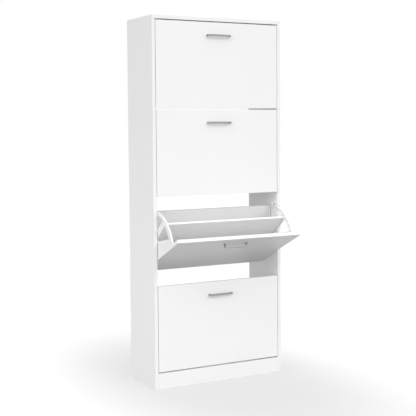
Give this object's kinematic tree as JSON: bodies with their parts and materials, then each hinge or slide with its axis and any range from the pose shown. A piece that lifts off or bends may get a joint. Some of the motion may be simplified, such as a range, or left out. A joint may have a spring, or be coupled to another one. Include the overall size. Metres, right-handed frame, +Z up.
{
  "type": "shoe cabinet",
  "caption": "Tall narrow white shoe cabinet with tilting front flaps, each carrying a two-row shoe insert between pivoting side brackets.",
  "frame": {"origin": "on the floor, at mid width, in the plane of the cabinet's front (the front lower edge of the plinth)", "axes": "+Z up, the front faces -Y, +X to the right of someone facing the cabinet"},
  "size_m": [0.676, 0.4679, 1.69],
  "materials": {
    "white_board": "white melamine-faced chipboard, satin",
    "flap_board": "white melamine-faced chipboard, satin",
    "thin_board": "thin white melamine-faced chipboard, satin",
    "white_plastic": "moulded white plastic, fine grain",
    "handle_metal": "brushed nickel",
    "zinc": "zinc-plated steel",
    "beech": "fluted beech dowel"
  },
  "bodies": {
    "cabinet": {"side_panel_left": "white_board", "side_panel_right": "white_board", "top_panel": "white_board", "plinth": "white_board", "bottom_panel": "white_board", "rear_rail_upper": "white_board", "rear_rail_middle": "white_board", "cam_locks": "zinc", "cam_bolts": "zinc", "wood_dowels": "beech", "pivot_pins": "zinc", "stop_pegs": "white_plastic"},
    "flap_1": {"flap_1_panel": "flap_board", "flap_1_bracket_left": "white_plastic", "flap_1_bracket_right": "white_plastic", "flap_1_divider": "thin_board", "flap_1_back_wall": "thin_board", "flap_1_front_floor": "thin_board", "flap_1_rear_floor": "thin_board", "flap_1_handle": "handle_metal", "flap_1_handle_screws": "zinc", "flap_1_bracket_screws": "zinc"},
    "flap_2": {"flap_2_panel": "flap_board", "flap_2_bracket_left": "white_plastic", "flap_2_bracket_right": "white_plastic", "flap_2_divider": "thin_board", "flap_2_back_wall": "thin_board", "flap_2_front_floor": "thin_board", "flap_2_rear_floor": "thin_board", "flap_2_handle": "handle_metal", "flap_2_handle_screws": "zinc", "flap_2_bracket_screws": "zinc"},
    "flap_3": {"flap_3_panel": "flap_board", "flap_3_bracket_left": "white_plastic", "flap_3_bracket_right": "white_plastic", "flap_3_divider": "thin_board", "flap_3_back_wall": "thin_board", "flap_3_front_floor": "thin_board", "flap_3_rear_floor": "thin_board", "flap_3_handle": "handle_metal", "flap_3_handle_screws": "zinc", "flap_3_bracket_screws": "zinc"},
    "flap_4": {"flap_4_panel": "flap_board", "flap_4_bracket_left": "white_plastic", "flap_4_bracket_right": "white_plastic", "flap_4_divider": "thin_board", "flap_4_back_wall": "thin_board", "flap_4_front_floor": "thin_board", "flap_4_rear_floor": "thin_board", "flap_4_handle": "handle_metal", "flap_4_handle_screws": "zinc", "flap_4_bracket_screws": "zinc"}
  },
  "joints": [
    {"name": "flap_1_tilt", "type": "hinge", "parent": "cabinet", "child": "flap_1", "pos_m": [0, 0.042, 1.4195], "axis": [1, 0, 0], "range_deg": [0, 65]},
    {"name": "flap_2_tilt", "type": "hinge", "parent": "cabinet", "child": "flap_2", "pos_m": [0, 0.042, 1.0205], "axis": [1, 0, 0], "range_deg": [0, 65]},
    {"name": "flap_3_tilt", "type": "hinge", "parent": "cabinet", "child": "flap_3", "pos_m": [0, 0.042, 0.6215], "axis": [1, 0, 0], "range_deg": [-65, 0]},
    {"name": "flap_4_tilt", "type": "hinge", "parent": "cabinet", "child": "flap_4", "pos_m": [0, 0.042, 0.2225], "axis": [1, 0, 0], "range_deg": [0, 65]}
  ]
}
